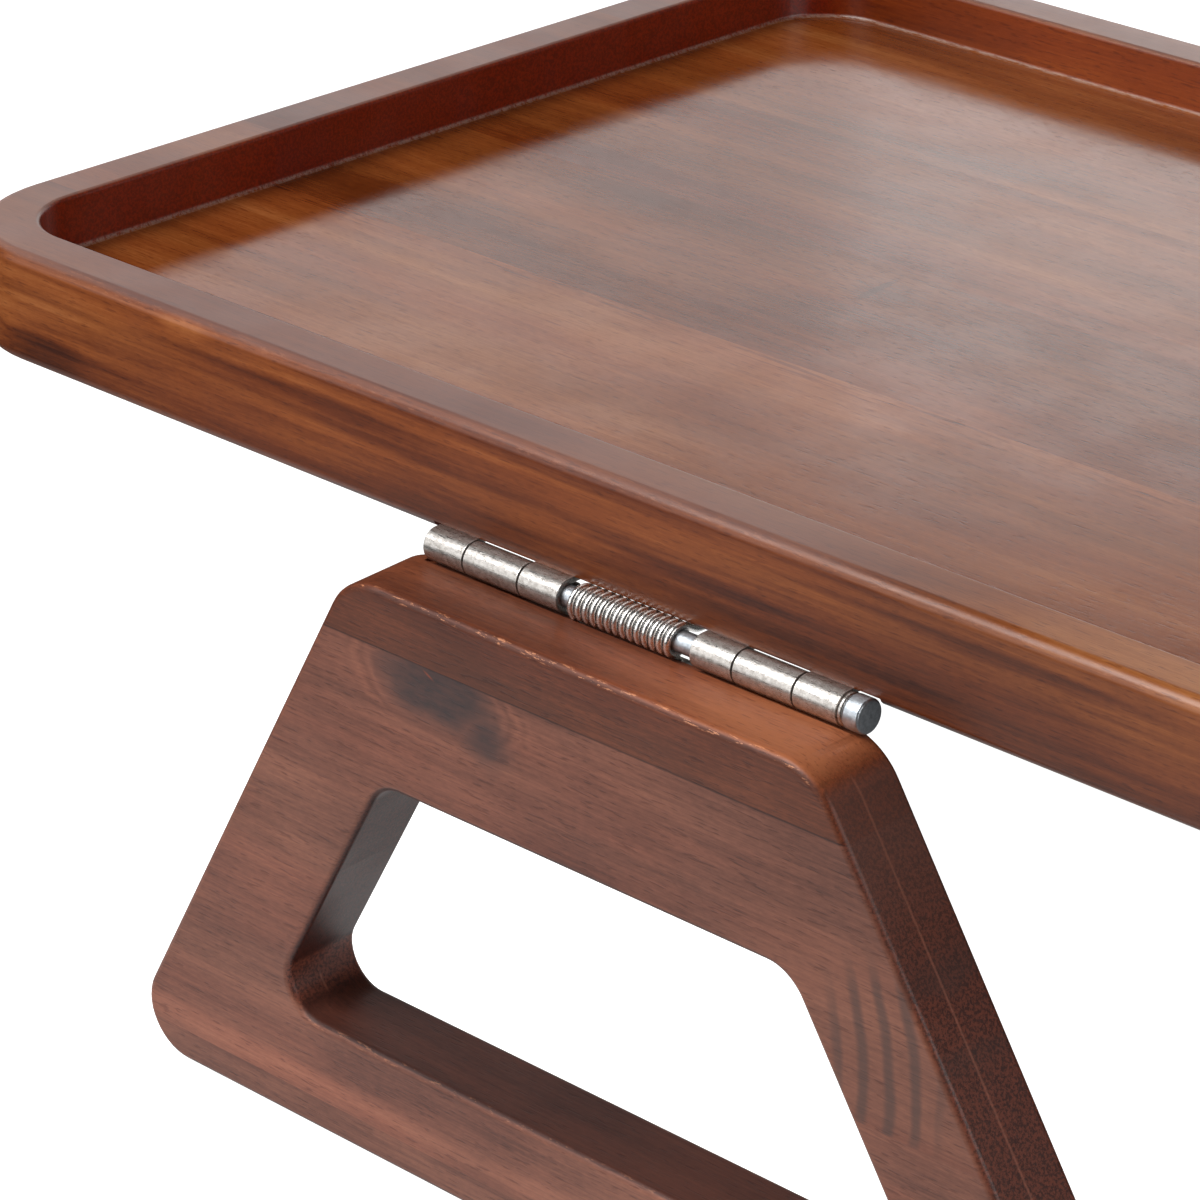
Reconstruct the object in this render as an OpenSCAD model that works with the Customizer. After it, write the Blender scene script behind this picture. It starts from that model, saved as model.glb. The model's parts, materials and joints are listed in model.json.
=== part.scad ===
// Sofa-arm tray table: a shallow wooden tray on two spring-hinged wings.
// +X runs along the tray's long side, +Y from front to rear, +Z up.
// The origin is on the floor, under the middle of the tray. All sizes are in millimetres.

/* [Tray] */
// Length of the tray along X
tray_length = 344; // [320:1:380]
// Depth of the tray along Y
tray_depth = 230; // [215:1:260]
// Thickness of the glued panel that the tray is cut from
tray_thickness = 20; // [18:0.5:24]
// Depth of the recess milled into the top
recess_depth = 10; // [6:0.5:11]
// Width of the rim round the recess
rim_width = 10.5; // [8:0.5:14]
// Radius of the tray's outer corners, seen from above
corner_radius = 25; // [20:1:35]
// Width of one full stave of the glued panel
stave_width = 45.5; // [40:0.5:50]
// Width of what is left of the front stave
front_stave_width = 27.5; // [24:0.5:30]

/* [Wing] */
// Length of the wing's top edge, before its corners are rounded
wing_top = 99.2; // [92:0.1:110]
// Height of the wing from its top edge to its foot
wing_height = 107.5; // [100:0.5:125]
// Thickness of the wing
wing_thickness = 15.4; // [14.5:0.1:18]
// Slope of the wing's sides from the vertical, in degrees
side_slope = 30.5; // [25:0.5:33]
// Lean of the standing wing, foot inwards, in degrees
wing_lean = 2.5; // [0:0.5:5]
// Height of the solid top rail above the cut-out
top_rail = 35.5; // [34:0.5:42]
// Height of the bottom rail below the cut-out
bottom_rail = 21; // [18:0.5:28]
// Level width of each slanted side rail
side_rail = 26.6; // [22:0.1:30]
// Radius of the wing's upper corners
wing_top_radius = 12; // [8:1:14]
// Radius of the wing's lower corners
wing_foot_radius = 9; // [5:0.5:10]
// Radius of the cut-out's upper corners
cutout_top_radius = 8; // [5:0.5:10]
// Radius of the cut-out's lower corners
cutout_foot_radius = 6.5; // [4:0.5:8]
// Height of the first glue joint below the wing's top edge
first_wing_joint = 10.3; // [10:0.1:11]

/* [Hinge] */
// Outer diameter of the hinge barrel
barrel_diameter = 5.8; // [5.6:0.1:6.2]
// Diameter of the hinge pin
pin_diameter = 3.6; // [3.4:0.1:3.6]
// Thickness of the hinge leaves
leaf_thickness = 1.1; // [1:0.1:1.1]
// Width of each leaf, measured from the pin's axis
leaf_width = 18; // [17.5:0.5:19]
// Length of a short knuckle
short_knuckle = 8.7; // [8:0.1:9]
// Length of a long knuckle
long_knuckle = 12.1; // [11.5:0.1:12.5]
// Length of the space for the torsion spring in the middle of the barrel
spring_space = 27.8; // [27:0.1:30]
// Depth of the rebates that the leaves are let into
rebate_depth = 1.4; // [1.2:0.1:1.5]
// Distance of the pin's axis in front of the tray's edge
axis_outset = 1; // [0.8:0.1:2]
// Drop from the pin's axis to the wing's top edge
wing_drop = 2.4; // [2.2:0.1:3]
// How far the wing's inner face lies behind the pin's axis
wing_cover = 0.9; // [0.7:0.1:0.9]

/* [Spring and screws] */
// Diameter of the spring wire
wire_diameter = 1.2; // [1.1:0.05:1.2]
// Whole turns of the torsion spring
spring_turns = 13; // [10:1:13]
// Diameter of the screw heads
screw_head = 5; // [4.6:0.1:5.2]
// Diameter of the screw shanks
screw_shank = 2.4; // [2:0.1:2.6]
// Length of the screws
screw_length = 8; // [6:0.5:8]

/* [Hidden] */
$fn = 48;
arc_steps = 8;             // straight stretches in each rounded corner of the wing

wood_colour = [0.36, 0.19, 0.12];
nickel_colour = [0.70, 0.69, 0.67];
zinc_colour = [0.62, 0.66, 0.70];

over = 1;                  // how far a cutting tool runs past a face
running = 0.05;            // radial clearance of a running fit, and of a screw in its pilot hole
contact = 0.02;            // gap left between two flat faces that bear on each other
knuckle_gap = 0.3;         // end play between neighbouring knuckles
free_gap = 0.6;            // clearance round a turning knuckle, and round a leaf in its rebate
tail_room = 1.6;           // what the tray's rebate leaves free past the plain end of the pin
head_room = 5.2;           // what it leaves free past the other end, where the pin has its head
groove_gap = 0.4;          // clearance of the wing's groove round the barrel

barrel_radius = barrel_diameter / 2;
hinge_length = 2 * (2 * short_knuckle + long_knuckle) + spring_space;
wing_inner_y = wing_cover;
wing_outer_y = wing_inner_y - wing_thickness;
wing_foot_z = -(wing_drop + wing_height);
axis_y = -(tray_depth / 2 + axis_outset);
axis_z = -(wing_outer_y * sin(wing_lean) + wing_foot_z * cos(wing_lean));
tray_bottom_z = axis_z + barrel_radius - rebate_depth;

// Where the tray's stave joints lie along Y, with the tray's own edges at the ends of the list
stave_joints = [
    -tray_depth / 2,
    for (i = [0 : 4]) -tray_depth / 2 + front_stave_width + i * stave_width,
    tray_depth / 2
];

// Heights of the wing's glue joints below its top edge, with its own edges at the ends of the list
wing_joints = [0, for (i = [0 : 2]) first_wing_joint + i * stave_width, wing_height];

// Screw places in a leaf, as [position along the barrel, distance from the axis]
screw_rows = [7.5, 14.6];
screw_places = [
    [-36, screw_rows[0]], [-17, screw_rows[1]], [17, screw_rows[1]], [36, screw_rows[0]]
];

// Level of each leaf's bearing face, measured from the axis towards the wood that it is screwed to.
// The tray leaf meets the barrel's top, and the wing leaf lies flush with the wing's inner face.
tray_leaf_level = barrel_radius - contact;
wing_leaf_level = leaf_thickness + contact - wing_cover;

// Barrel stretches, as [start, length] along X from the middle of the hinge
outer_end = hinge_length / 2;
inner_end = spring_space / 2;
tray_knuckles = [
    [-outer_end, short_knuckle], [-inner_end - short_knuckle, short_knuckle],
    [inner_end, short_knuckle], [outer_end - short_knuckle, short_knuckle]
];
wing_knuckles = [
    [-outer_end + short_knuckle, long_knuckle], [inner_end + short_knuckle, long_knuckle]
];
spring_stretch = [-inner_end, spring_space];

// Pin and washer along X
pin_inset = 0.4;
head_offset = 1.15;
head_length = 3.1;
head_radius = 2.85;
washer_gap = 0.1;
washer_length = 0.95;

// Spring
coil_inset = 2.6;          // how far past the start of its space the coil starts
turn_pitch = 1.56;         // distance between neighbouring turns
leg_angle = 30;            // how far past the top the coil turns before its tray leg leaves it
leg_reach = 2.6;           // length of the straight stretch between the coil and each leg's bend
leg_length = 9;            // length of each leg past its bend
coil_radius = pin_diameter / 2 + running + wire_diameter / 2;
coil_start = -inner_end + coil_inset;
coil_length = turn_pitch * (spring_turns + (90 + 2 * leg_angle) / 360);
wire_sides = 8;
steps_per_turn = 12;
leg_slot = [-2.2, -13.5];  // how far the slot for the wing leg reaches forwards, and down
slot_gap = 0.25;           // clearance on either side of that leg

// ---------- places ----------

// Puts children, drawn round the pin's axis at the origin, at the front or the rear hinge.
module at_hinge(rear = false) {
    rotate([0, 0, rear ? 180 : 0])
        translate([0, axis_y, axis_z])
            children();
}

// The same, for what hangs on the wing and so shares its lean.
module on_wing(rear = false) {
    at_hinge(rear)
        rotate([wing_lean, 0, 0])
            children();
}

// Turns the tray leaf's shape into the wing leaf's: what points inwards points down instead.
module as_wing_leaf() {
    mirror([0, 1, 1])
        children();
}

// ---------- outlines ----------

// Rectangle with rounded corners, centred, with true arcs.
module round_rectangle(length, width, radius) {
    square([length - 2 * radius, width], center = true);
    square([length, width - 2 * radius], center = true);
    for (x = [-1, 1], y = [-1, 1])
        translate([x * (length / 2 - radius), y * (width / 2 - radius)])
            circle(r = radius);
}

// Half the length of a level cut through the trapezoid at a depth below its top edge.
function half_span(top, depth) = top / 2 + depth * tan(side_slope);

// Points along an arc between two angles.
function arc(centre, radius, from_angle, to_angle) = [
    for (i = [0 : arc_steps])
        let (angle = from_angle + (to_angle - from_angle) * i / arc_steps)
            centre + radius * [cos(angle), sin(angle)]
];

// Trapezoid with rounded corners, between two depths below the wing's top edge.
// top is its length at depth 0, so that outlines of different depth keep the same slope.
module round_trapezoid(top, from, to, top_radius, foot_radius) {
    corner_angle = 90 - side_slope;
    top_x = half_span(top, from) - top_radius * tan(corner_angle / 2);
    foot_x = half_span(top, to) - foot_radius / tan(corner_angle / 2);
    right_side = concat(
        arc([top_x, -from - top_radius], top_radius, 90, side_slope),
        arc([foot_x, -to + foot_radius], foot_radius, side_slope, -90)
    );
    left_side = [
        for (i = [len(right_side) - 1 : -1 : 0]) [-right_side[i][0], right_side[i][1]]
    ];
    polygon(concat(right_side, left_side));
}

// ---------- tray ----------

// The whole tray before it is divided into staves.
module tray_body() {
    translate([0, 0, tray_bottom_z])
        difference() {
            linear_extrude(tray_thickness)
                round_rectangle(tray_length, tray_depth, corner_radius);
            translate([0, 0, tray_thickness - recess_depth])
                linear_extrude(recess_depth + over)
                    round_rectangle(
                        tray_length - 2 * rim_width, tray_depth - 2 * rim_width,
                        corner_radius - rim_width
                    );
        }
}

// What is cut out of the tray for one hinge: the leaf's rebate and the pilot holes.
module tray_hinge_cut() {
    translate([-outer_end - tail_room, -over, -barrel_radius])
        cube([
            hinge_length + tail_room + head_room, leaf_width + free_gap + over, 2 * barrel_radius
        ]);
    for (place = screw_places)
        translate([place[0], place[1], 0])
            cylinder(r = screw_shank / 2 + running, h = barrel_radius + screw_length);
}

// One stave of the tray, counted from the front.
module tray_stave(number) {
    start = stave_joints[number - 1];
    width = stave_joints[number] - start;
    color(wood_colour)
        difference() {
            intersection() {
                tray_body();
                translate([-tray_length, start, tray_bottom_z - over])
                    cube([2 * tray_length, width, tray_thickness + 2 * over]);
            }
            if (number == 1)
                at_hinge()
                    tray_hinge_cut();
            if (number == 6)
                at_hinge(rear = true)
                    tray_hinge_cut();
        }
}

// ---------- wing ----------

// The wing's face outline, its top edge on the X axis.
module wing_outline() {
    cutout_top = wing_top - 2 * side_rail;
    difference() {
        round_trapezoid(wing_top, 0, wing_height, wing_top_radius, wing_foot_radius);
        round_trapezoid(
            cutout_top, top_rail, wing_height - bottom_rail, cutout_top_radius, cutout_foot_radius
        );
    }
}

// The whole wing, hanging upright from the pin's axis, before it is divided into strips.
module wing_body() {
    translate([0, wing_inner_y, -wing_drop])
        rotate([90, 0, 0])
            linear_extrude(wing_thickness)
                wing_outline();
}

// What is cut out of the wing for its hinge: a groove under the barrel, the leaf's rebate,
// a slot for the spring's leg behind the leaf, and the pilot holes.
module wing_hinge_cut() {
    groove_start = -outer_end - free_gap;
    bearing = -wing_leaf_level - contact;
    barrel(groove_start, head_room - groove_start + outer_end, barrel_radius + groove_gap);
    translate([groove_start, bearing, -leaf_width - free_gap])
        cube([hinge_length + 2 * free_gap, barrel_radius, leaf_width + 2 * free_gap]);
    translate([coil_start - wire_diameter / 2 - slot_gap, leg_slot[0], leg_slot[1]])
        cube([wire_diameter + 2 * slot_gap, bearing - leg_slot[0] + over, -leg_slot[1]]);
    for (place = screw_places)
        translate([place[0], 0, -place[1]])
            rotate([90, 0, 0])
                cylinder(r = screw_shank / 2 + running, h = barrel_radius + screw_length);
}

// One strip of a wing, counted from the top.
module wing_strip(number, rear = false) {
    start = wing_joints[number - 1];
    height = wing_joints[number] - start;
    color(wood_colour)
        on_wing(rear)
            difference() {
                intersection() {
                    wing_body();
                    translate([-tray_length / 2, wing_outer_y - over, -wing_drop - start - height])
                        cube([tray_length, wing_thickness + 2 * over, height]);
                }
                if (number <= 2)
                    wing_hinge_cut();
            }
}

// ---------- hinge ----------

// A stretch of solid barrel, or of the bore through it, along X.
module barrel(start, length, radius) {
    translate([start, 0, 0])
        rotate([0, 90, 0])
            cylinder(r = radius, h = length);
}

// A leaf with its knuckles, pointing inwards under the tray. level is the height of its bearing face.
// own are the knuckles it carries, and blocked the stretches that it is cut back from.
module leaf(own, blocked, level) {
    corner = 3;
    difference() {
        union() {
            translate([-outer_end, 0, level - leaf_thickness]) {
                cube([hinge_length, leaf_width - corner, leaf_thickness]);
                translate([corner, leaf_width - 2 * corner, 0])
                    cube([hinge_length - 2 * corner, 2 * corner, leaf_thickness]);
                for (x = [corner, hinge_length - corner])
                    translate([x, leaf_width - corner, 0])
                        cylinder(r = corner, h = leaf_thickness);
            }
            for (stretch = own)
                barrel(stretch[0], stretch[1], barrel_radius);
        }
        for (stretch = blocked)
            translate([stretch[0] - knuckle_gap / 2, -2 * barrel_radius, -barrel_radius])
                cube([
                    stretch[1] + knuckle_gap, 3 * barrel_radius + free_gap,
                    2 * barrel_radius + over
                ]);
        barrel(-outer_end - over, hinge_length + 2 * over, pin_diameter / 2 + running);
        for (place = screw_places)
            translate([place[0], place[1], level - leaf_thickness])
                screw_hole();
    }
}

// Countersunk hole through a leaf, its wide mouth at z = 0.
module screw_hole() {
    shank = screw_shank / 2 + 2 * running;
    translate([0, 0, -over])
        cylinder(r = shank, h = leaf_thickness + 2 * over);
    translate([0, 0, -contact])
        cylinder(r1 = screw_head / 2 + 2 * running, r2 = shank, h = leaf_thickness);
}

// Countersunk screw pointing up, the face of its head at z = 0, with a cross recess.
module screw() {
    point_length = 2;
    point_radius = 0.3;
    cross_length = 2.6;
    cross_width = 0.6;
    cross_depth = 0.8;
    difference() {
        union() {
            cylinder(r1 = screw_head / 2, r2 = screw_shank / 2, h = leaf_thickness);
            cylinder(r = screw_shank / 2, h = screw_length - point_length);
            translate([0, 0, screw_length - point_length])
                cylinder(r1 = screw_shank / 2, r2 = point_radius, h = point_length);
        }
        for (turn = [0, 90])
            rotate([0, 0, turn])
                translate([-cross_length / 2, -cross_width / 2, -over])
                    cube([cross_length, cross_width, over + cross_depth]);
    }
}

// The four screws of a leaf whose bearing face is at a level.
module leaf_screws(level) {
    for (place = screw_places)
        translate([place[0], place[1], level - leaf_thickness])
            screw();
}

module tray_leaf(rear = false) {
    color(nickel_colour)
        at_hinge(rear)
            leaf(tray_knuckles, concat(wing_knuckles, [spring_stretch]), tray_leaf_level);
}

module wing_leaf(rear = false) {
    color(nickel_colour)
        on_wing(rear)
            as_wing_leaf()
                leaf(wing_knuckles, concat(tray_knuckles, [spring_stretch]), wing_leaf_level);
}

module tray_leaf_screws(rear = false) {
    color(zinc_colour)
        at_hinge(rear)
            leaf_screws(tray_leaf_level);
}

module wing_leaf_screws(rear = false) {
    color(zinc_colour)
        on_wing(rear)
            as_wing_leaf()
                leaf_screws(wing_leaf_level);
}

// Pin with a flat head. Its plain end stops a little inside the first knuckle.
module hinge_pin(rear = false) {
    tail = -outer_end + pin_inset;
    head_start = outer_end + head_offset;
    color(zinc_colour)
        at_hinge(rear) {
            barrel(tail, head_start - tail + over, pin_diameter / 2);
            barrel(head_start, head_length, head_radius);
        }
}

// Washer between the last knuckle and the pin's head.
module hinge_washer(rear = false) {
    color(nickel_colour)
        at_hinge(rear)
            difference() {
                barrel(outer_end + washer_gap, washer_length, barrel_radius - 2 * running);
                barrel(outer_end - over, 2 * over + head_offset, pin_diameter / 2 + running);
            }
}

// ---------- spring ----------

// A point of the coil, from its angle past the top and its share of the coil's length.
function coil_point(angle, share) = [
    coil_start + share * coil_length, coil_radius * sin(angle), coil_radius * cos(angle)
];

// The tray leg runs straight off the coil, then level under its leaf. The wing leg is its mirror
// image, and its far end takes up the wing's lean, so it runs down its slot behind the wing leaf.
first_angle = -90 - leg_angle;
last_angle = 360 * spring_turns + leg_angle;
coil_end = coil_start + coil_length;
bend_y = coil_radius * sin(leg_angle) + leg_reach * cos(leg_angle);
bend_z = coil_radius * cos(leg_angle) - leg_reach * sin(leg_angle);
tray_leg = [[coil_end, bend_y, bend_z], [coil_end, bend_y + leg_length, bend_z]];
wing_leg_bend = [coil_start, -bend_z, -bend_y];
wing_leg = [wing_leg_bend + leg_length * [0, sin(wing_lean), -cos(wing_lean)], wing_leg_bend];
coil_steps = ceil((last_angle - first_angle) / 360 * steps_per_turn);
wire_path = concat(
    wing_leg,
    [
        for (i = [0 : coil_steps])
            coil_point(first_angle + (last_angle - first_angle) * i / coil_steps, i / coil_steps)
    ],
    tray_leg
);

function unit(v) = v / norm(v);
function heading(path, i) =
    unit(path[min(i + 1, len(path) - 1)] - path[max(i - 1, 0)]);

// A ring of points round the wire at one place on its path.
// The coil's axis is X, so X and the wire's heading fix the ring's own two directions.
function wire_ring(path, i) =
    let (
        forward = heading(path, i),
        out = unit(cross(forward, [1, 0, 0])),
        side = cross(out, forward)
    )
    [
        for (k = [0 : wire_sides - 1])
            path[i] + wire_diameter / 2 * (cos(360 * k / wire_sides) * out
                + sin(360 * k / wire_sides) * side)
    ];

// A closed round wire swept along a path.
module wire(path) {
    rings = len(path);
    points = [for (i = [0 : rings - 1]) each wire_ring(path, i)];
    walls = [
        for (i = [0 : rings - 2], k = [0 : wire_sides - 1])
            let (next = (k + 1) % wire_sides, a = i * wire_sides, b = a + wire_sides)
                [a + k, a + next, b + next, b + k]
    ];
    first_cap = [for (k = [0 : wire_sides - 1]) wire_sides - 1 - k];
    last_cap = [for (k = [0 : wire_sides - 1]) (rings - 1) * wire_sides + k];
    polyhedron(points, concat(walls, [first_cap, last_cap]));
}

module hinge_spring(rear = false) {
    color(nickel_colour)
        at_hinge(rear)
            wire(wire_path);
}

tray_stave(1);  // tray_stave_1
tray_stave(2);  // tray_stave_2
tray_stave(3);  // tray_stave_3
tray_stave(4);  // tray_stave_4
tray_stave(5);  // tray_stave_5
tray_stave(6);  // tray_stave_6
wing_strip(1);  // front_wing_top_strip
wing_strip(2);  // front_wing_upper_strip
wing_strip(3);  // front_wing_lower_strip
wing_strip(4);  // front_wing_foot_strip
tray_leaf();  // front_tray_leaf
wing_leaf();  // front_wing_leaf
hinge_pin();  // front_hinge_pin
hinge_washer();  // front_hinge_washer
hinge_spring();  // front_hinge_spring
tray_leaf_screws();  // front_tray_leaf_screws
wing_leaf_screws();  // front_wing_leaf_screws
wing_strip(1, rear = true);  // rear_wing_top_strip
wing_strip(2, rear = true);  // rear_wing_upper_strip
wing_strip(3, rear = true);  // rear_wing_lower_strip
wing_strip(4, rear = true);  // rear_wing_foot_strip
tray_leaf(rear = true);  // rear_tray_leaf
wing_leaf(rear = true);  // rear_wing_leaf
hinge_pin(rear = true);  // rear_hinge_pin
hinge_washer(rear = true);  // rear_hinge_washer
hinge_spring(rear = true);  // rear_hinge_spring
tray_leaf_screws(rear = true);  // rear_tray_leaf_screws
wing_leaf_screws(rear = true);  // rear_wing_leaf_screws
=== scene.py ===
"""Sofa-arm tray table: a wooden tray on two spring-hinged wings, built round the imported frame."""
import json
import math

import bmesh
import bpy
from mathutils import Matrix, Vector


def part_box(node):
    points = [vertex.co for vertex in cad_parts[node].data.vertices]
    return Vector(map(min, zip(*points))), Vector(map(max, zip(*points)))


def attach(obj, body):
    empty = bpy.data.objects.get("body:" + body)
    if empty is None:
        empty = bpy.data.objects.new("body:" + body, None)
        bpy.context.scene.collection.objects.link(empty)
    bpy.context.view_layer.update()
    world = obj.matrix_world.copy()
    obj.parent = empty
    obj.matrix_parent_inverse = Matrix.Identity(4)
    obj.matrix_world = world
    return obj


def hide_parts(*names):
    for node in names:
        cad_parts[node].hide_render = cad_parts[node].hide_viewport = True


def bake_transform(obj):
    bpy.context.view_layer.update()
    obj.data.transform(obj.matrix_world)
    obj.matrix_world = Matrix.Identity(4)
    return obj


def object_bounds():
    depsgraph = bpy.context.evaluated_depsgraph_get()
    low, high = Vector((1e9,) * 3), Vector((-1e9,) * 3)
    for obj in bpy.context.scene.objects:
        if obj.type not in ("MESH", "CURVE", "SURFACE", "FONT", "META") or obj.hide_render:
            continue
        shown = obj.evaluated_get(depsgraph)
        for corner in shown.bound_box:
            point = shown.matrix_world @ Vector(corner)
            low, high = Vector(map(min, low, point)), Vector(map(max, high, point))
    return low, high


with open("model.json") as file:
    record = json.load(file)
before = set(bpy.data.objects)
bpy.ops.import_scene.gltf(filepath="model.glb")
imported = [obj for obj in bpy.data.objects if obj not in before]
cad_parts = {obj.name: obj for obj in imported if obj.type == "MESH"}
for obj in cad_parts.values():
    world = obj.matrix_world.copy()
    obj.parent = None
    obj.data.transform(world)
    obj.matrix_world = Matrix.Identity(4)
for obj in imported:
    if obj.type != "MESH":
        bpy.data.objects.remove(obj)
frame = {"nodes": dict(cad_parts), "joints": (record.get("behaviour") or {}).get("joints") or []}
cad_low, cad_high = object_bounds()

MM = 0.001

# ---------- sizes, in metres ----------

TRAY_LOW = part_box("tray_stave_1")[0]
TRAY_HIGH = Vector((cad_high.x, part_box("tray_stave_6")[1].y, cad_high.z))
TRAY_THICKNESS = TRAY_HIGH.z - TRAY_LOW.z
STAVE_ENDS = [TRAY_LOW.y] + [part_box(f"tray_stave_{n}")[1].y for n in range(1, 7)]
CORNER_RADIUS = 25 * MM
RIM_WIDTH = 10.5 * MM
RECESS_DEPTH = 10 * MM
TRAY_TOP_ROUND = 2.2 * MM
TRAY_FOOT_ROUND = 2.0 * MM
RIM_INNER_ROUND = 0.9 * MM
RECESS_COVE = 0.9 * MM

AXIS = Vector(frame["joints"][0]["pos_m"])
WING_LEAN = math.radians(2.5)
SIDE_SLOPE = math.radians(30.5)
WING_TOP = 99.2 * MM
WING_HEIGHT = 107.5 * MM
WING_FRONT = -14.5 * MM
WING_BACK = 0.9 * MM
WING_DROP = 2.4 * MM
WING_ROUND = 1.3 * MM
WING_TOP_RADIUS = 12 * MM
WING_FOOT_RADIUS = 9 * MM
SIDE_RAIL = 26.6 * MM
BOTTOM_RAIL = 21 * MM
WING_JOINTS = [0, 10.3 * MM, 55.8 * MM, 101.3 * MM, WING_HEIGHT]
WING_STRIPS = ["top", "upper", "lower", "foot"]
CUTOUT_TOP = WING_TOP - 2 * SIDE_RAIL
CUTOUT_FROM = 35.5 * MM
CUTOUT_TO = WING_HEIGHT - BOTTOM_RAIL
CUTOUT_TOP_RADIUS = 8 * MM
CUTOUT_FOOT_RADIUS = 6.5 * MM

BARREL = 2.88 * MM
SHEET = 1.05 * MM
PIN = 1.8 * MM
HINGE_END = 43.4 * MM
KNUCKLE_ENDS = [34.7 * MM, 22.6 * MM, 13.9 * MM]
KNUCKLE_GAP = 0.15 * MM
LEAF_WIDTH = 18 * MM
LEAF_CUT = 3.5 * MM
LEAF_CORNER = 3 * MM
CORNER_ANGLES = (0, 22.5, 45, 67.5, 90)
WING_ROLL = (40, 335)
TRAY_ROLL = (90, 390)
ROLL_STEPS = 36
WING_LEAF_LEVEL = 0.22 * MM
PILOT = 1.25 * MM
PILOT_DEPTH = 11 * MM
SCREW_PLACES = [(-36 * MM, 7.5 * MM), (-17 * MM, 14.6 * MM), (17 * MM, 14.6 * MM), (36 * MM, 7.5 * MM)]
FREE_GAP = 0.6 * MM
TAIL_ROOM = 1.6 * MM
HEAD_ROOM = 5.2 * MM
GROOVE = 3.3 * MM
LEG_SLOT = 0.85 * MM
LEG_SLOT_FRONT = -2.2 * MM
LEG_SLOT_FOOT = -13.5 * MM
OVERCUT = 1 * MM

WIRE = 0.6 * MM
COIL = 2.45 * MM
COIL_START = -11.3 * MM
COIL_LENGTH = 20.93 * MM
COIL_TURNS = 13
LEG_ANGLE = 30
LEG_LENGTH = 9 * MM
LEG_REACH = 2.6 * MM


# ---------- mesh helpers ----------

def new_object(name, verts, faces):
    """A mesh object from plain points and faces, its normals turned outwards."""
    mesh = bpy.data.meshes.new(name)
    mesh.from_pydata([tuple(v) for v in verts], [], faces)
    tidy_normals(mesh)
    obj = bpy.data.objects.new(name, mesh)
    bpy.context.scene.collection.objects.link(obj)
    return obj


def tidy_normals(mesh):
    bm = bmesh.new()
    bm.from_mesh(mesh)
    bmesh.ops.recalc_face_normals(bm, faces=bm.faces[:])
    bm.to_mesh(mesh)
    bm.free()


def apply_modifiers(obj):
    """Turns an object's modifiers into its mesh."""
    graph = bpy.context.evaluated_depsgraph_get()
    mesh = bpy.data.meshes.new_from_object(obj.evaluated_get(graph))
    obj.modifiers.clear()
    obj.data = mesh


def carve(obj, cutters):
    """Cuts closed shapes out of an object, then removes the cutters."""
    for cutter in cutters:
        cut = obj.modifiers.new("cut", "BOOLEAN")
        cut.operation = "DIFFERENCE"
        cut.solver = "EXACT"
        cut.object = cutter
    apply_modifiers(obj)
    for cutter in cutters:
        bpy.data.objects.remove(cutter)


def shade(obj, sharp_angle=35):
    """Smooth shading with flat faces kept flat and edges above an angle kept sharp."""
    obj.data.shade_smooth()
    obj.data.set_sharp_from_angle(angle=math.radians(sharp_angle))
    weigh = obj.modifiers.new("flat faces", "WEIGHTED_NORMAL")
    weigh.keep_sharp = True
    apply_modifiers(obj)


def box_cutter(low, high):
    corners = [(x, y, z) for x in (low[0], high[0]) for y in (low[1], high[1]) for z in (low[2], high[2])]
    faces = [(0, 1, 3, 2), (4, 6, 7, 5), (0, 4, 5, 1), (2, 3, 7, 6), (0, 2, 6, 4), (1, 5, 7, 3)]
    return new_object("cutter", corners, faces)


def loft(name, rings, edge_values, closed):
    """Skins rings of matched points. edge_values go into the point attribute "edge"."""
    count = len(rings[0])
    verts = [point for ring in rings for point in ring]
    faces = []
    for r in range(len(rings) if closed else len(rings) - 1):
        a = r * count
        b = (r + 1) % len(rings) * count
        faces += [(a + k, a + (k + 1) % count, b + (k + 1) % count, b + k) for k in range(count)]
    if not closed:
        faces.append(tuple(range(count)))
        faces.append(tuple(range(len(verts) - count, len(verts))))
    obj = new_object(name, verts, faces)
    edge = obj.data.attributes.new("edge", "FLOAT", "POINT")
    for r, value in enumerate(edge_values):
        for k in range(count):
            edge.data[r * count + k].value = value
    return obj


def slab(source, name, axis, low, high):
    """The stretch of a closed mesh between two planes, with its cut ends closed."""
    bm = bmesh.new()
    bm.from_mesh(source.data)
    for place, normal in ((low, -axis), (high, axis)):
        geometry = bm.verts[:] + bm.edges[:] + bm.faces[:]
        cut = bmesh.ops.bisect_plane(
            bm, geom=geometry, dist=1e-7, plane_co=axis * place, plane_no=normal, clear_outer=True)
        rim = [e for e in cut["geom_cut"] if isinstance(e, bmesh.types.BMEdge)]
        if rim:
            bmesh.ops.holes_fill(bm, edges=rim)
    bmesh.ops.recalc_face_normals(bm, faces=bm.faces[:])
    mesh = bpy.data.meshes.new(name)
    bm.to_mesh(mesh)
    bm.free()
    obj = bpy.data.objects.new(name, mesh)
    bpy.context.scene.collection.objects.link(obj)
    return obj


def outline(corners, inset, steps=14):
    """Points round a rounded outline. A corner is (x, y, radius, start angle, end angle)."""
    points = []
    for x, y, radius, start, end in corners:
        for i in range(steps + 1):
            angle = start + (end - start) * i / steps
            reach = radius - inset
            points.append((x + reach * math.cos(angle), y + reach * math.sin(angle)))
    return points


def rounding(inset, height, radius, start, end, kind=1, steps=5):
    """Profile points round an edge, as (inset, height, edge value)."""
    points = []
    for i in range(steps + 1):
        angle = math.radians(start + (end - start) * i / steps)
        value = kind * math.sin(math.pi * i / steps)
        points.append((inset + radius * math.cos(angle), height + radius * math.sin(angle), value))
    return points


def at_hinge(obj, rear, lean=0.0):
    """Puts an object drawn round the pin's axis at the front or rear hinge."""
    turn = Matrix.Rotation(math.pi if rear else 0.0, 4, "Z")
    obj.matrix_world = turn @ Matrix.Translation(AXIS) @ Matrix.Rotation(lean, 4, "X")


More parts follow.
